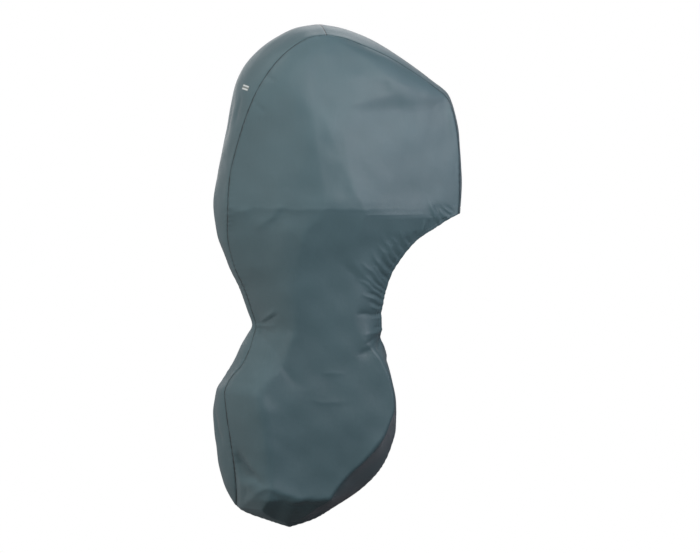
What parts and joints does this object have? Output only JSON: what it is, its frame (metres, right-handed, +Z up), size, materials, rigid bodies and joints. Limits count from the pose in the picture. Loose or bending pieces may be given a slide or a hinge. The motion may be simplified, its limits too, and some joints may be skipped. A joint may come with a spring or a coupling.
{
  "type": "outboard motor cover",
  "caption": "Fitted full-length fabric cover for an outboard motor: domed head, narrow waist, gathered mouth at the front and a closed pouch for the lower unit.",
  "frame": {"origin": "inner face of the crown, at the highest point of the inside, on the middle plane", "axes": "+X towards the open front of the mouth, +Y to the port side, +Z up"},
  "size_m": [0.8382, 0.5395, 1.704],
  "materials": {
    "cloth": "matt to satin coated polyester, grey-teal",
    "label_tape": "matt woven tape, pale grey"
  },
  "bodies": {
    "root": {"side_panel_starboard": "cloth", "side_panel_port": "cloth", "back_band": "cloth", "front_band": "cloth", "label": "label_tape"}
  },
  "joints": []
}
